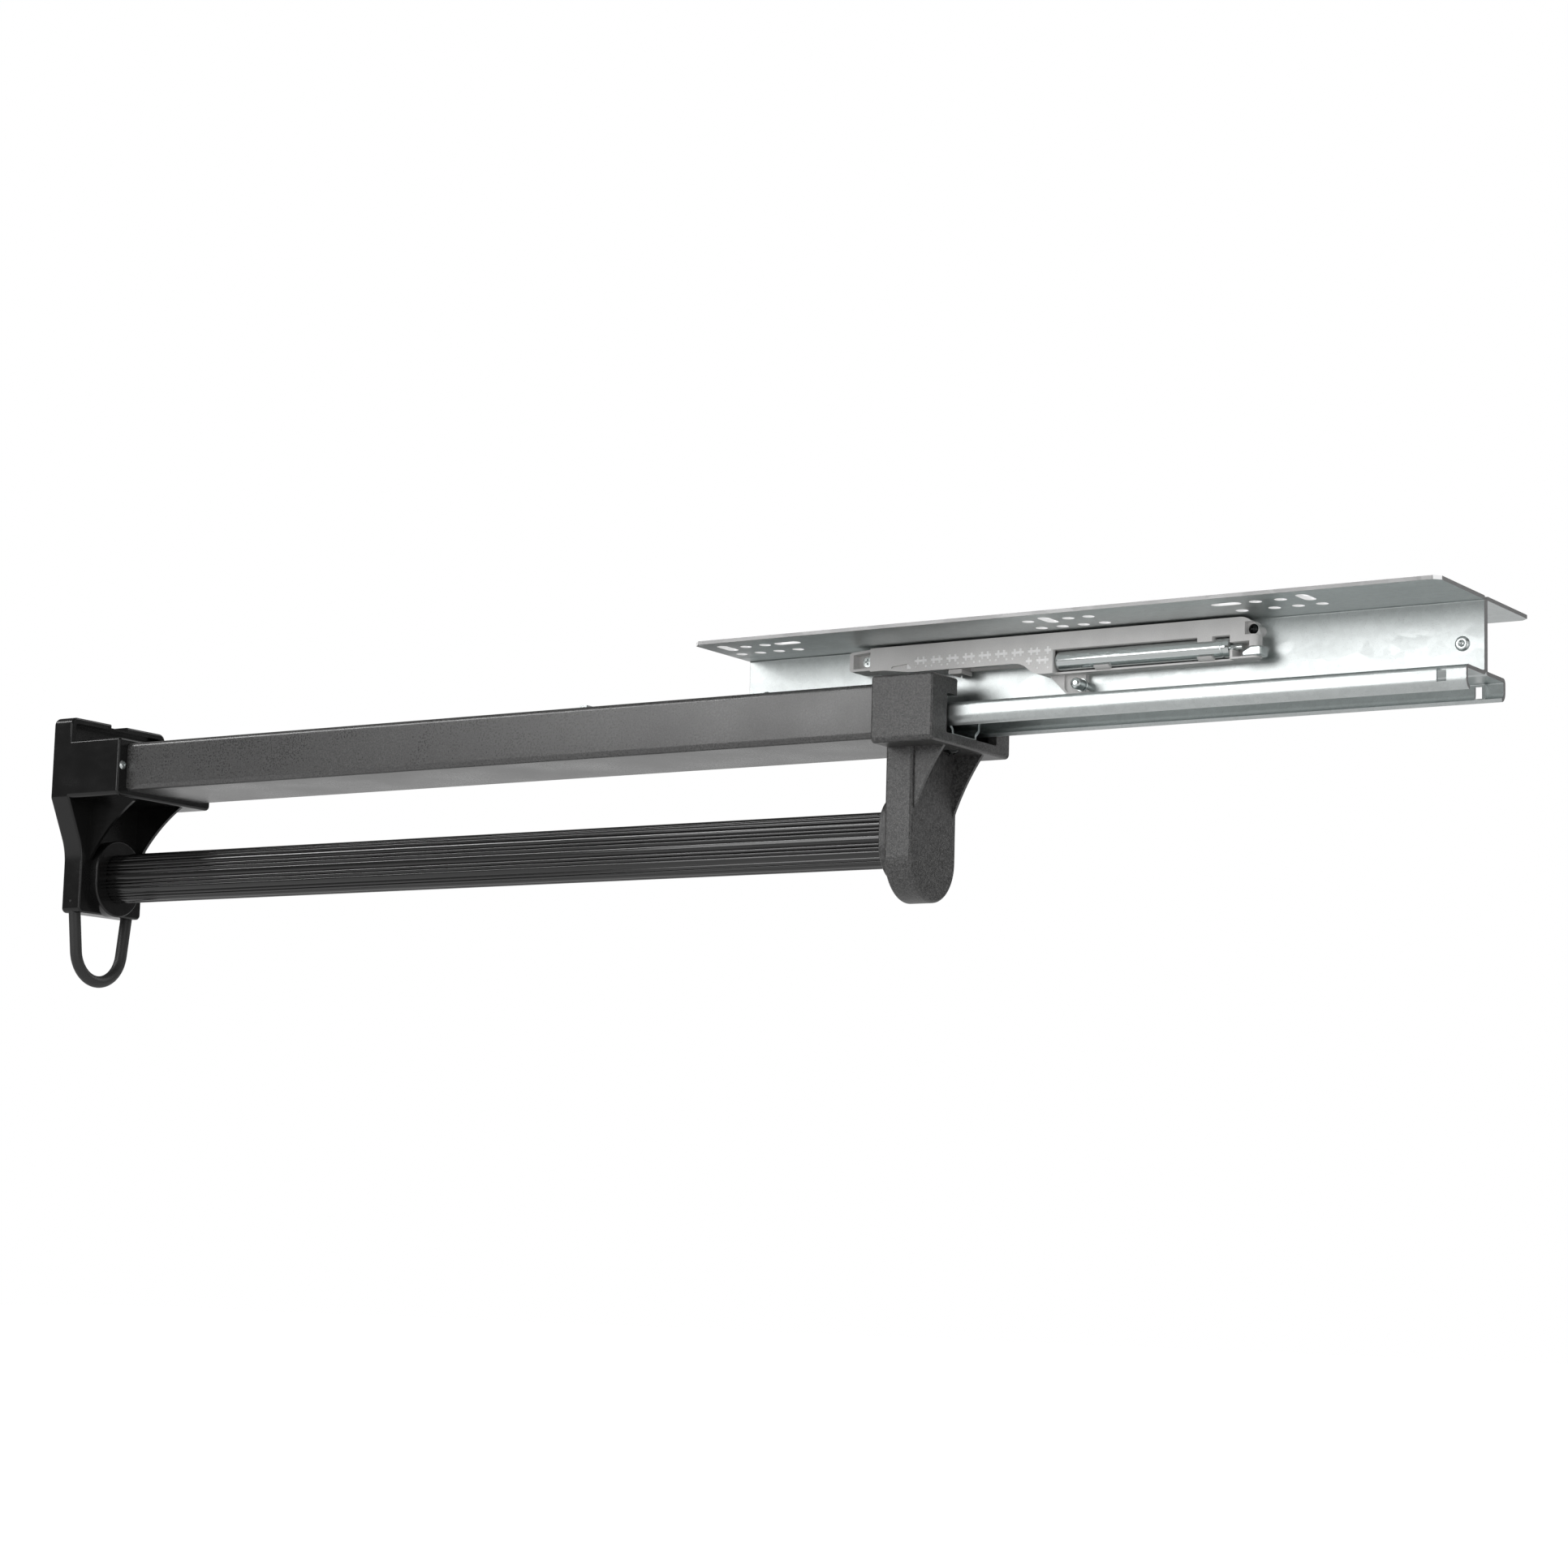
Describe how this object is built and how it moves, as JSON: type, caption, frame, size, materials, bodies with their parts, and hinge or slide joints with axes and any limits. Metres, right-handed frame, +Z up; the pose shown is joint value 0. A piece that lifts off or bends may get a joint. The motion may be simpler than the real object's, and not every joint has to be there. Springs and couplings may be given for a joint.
{
  "type": "pull-out closet rod",
  "caption": "Ceiling-mounted pull-out closet rod: T-shaped steel rail, black slotted tube carriage on balls, ribbed oval hanger rod, soft-close unit and finger loop.",
  "frame": {"origin": "centre of the ceiling rail's top face, in the middle of its four middle inner-row screw holes", "axes": "+X along the slide to the rear of the wardrobe; +Z up to the ceiling or shelf; the soft-close unit is on the -Y side of the rail's web; the rod is pulled out towards -X"},
  "size_m": [0.753, 0.096, 0.1413],
  "materials": {
    "galvanised_steel": "zinc coated sheet",
    "zinc_steel": "bright zinc",
    "damper_plastic": "fine satin",
    "catch_plastic": "satin",
    "black_screw": "blackened",
    "spring_steel": "bright",
    "tube_coat": "fine textured powder coat",
    "front_plastic": "satin moulded",
    "rear_plastic": "grained moulded",
    "rod_core_metal": "mill",
    "rod_rubber": "ribbed, satin gloss",
    "loop_plastic": "satin"
  },
  "bodies": {
    "rail": {"rail_near_half": "galvanised_steel", "rail_far_half": "galvanised_steel", "web_rivets": "zinc_steel", "soft_close_housing": "damper_plastic", "soft_close_back_plate": "damper_plastic", "damper_cylinder": "zinc_steel", "damper_tail_lug": "zinc_steel", "housing_front_screw": "zinc_steel", "housing_rear_screw": "black_screw", "locating_peg": "zinc_steel", "closing_spring": "spring_steel"},
    "catch": {"catch_slider": "catch_plastic", "piston_rod": "zinc_steel"},
    "cage": {"ball_cage": "zinc_steel", "cage_balls": "zinc_steel"},
    "carriage": {"inner_channel": "galvanised_steel", "channel_rivets": "zinc_steel", "hanger_tube": "tube_coat", "catch_actuator": "zinc_steel", "actuator_rivet": "zinc_steel", "front_bracket": "front_plastic", "front_block_screws": "zinc_steel", "rear_bracket": "rear_plastic", "rear_underside_screw": "black_screw", "rod_core": "rod_core_metal", "rod_sleeve": "rod_rubber", "pull_loop": "loop_plastic"}
  },
  "joints": [
    {"name": "carriage_slide", "type": "slide", "parent": "rail", "child": "carriage", "axis": [1, 0, 0], "range_m": [0, 0.226]},
    {"name": "cage_slide", "type": "slide", "parent": "rail", "child": "cage", "axis": [1, 0, 0], "range_m": [0, 0.113]},
    {"name": "catch_slide", "type": "slide", "parent": "rail", "child": "catch", "axis": [1, 0, 0], "range_m": [0, 0.026], "deforming": ["closing_spring"]}
  ],
  "couplings": [
    {"joint": "cage_slide", "follows": "carriage_slide", "ratio": 0.5}
  ]
}
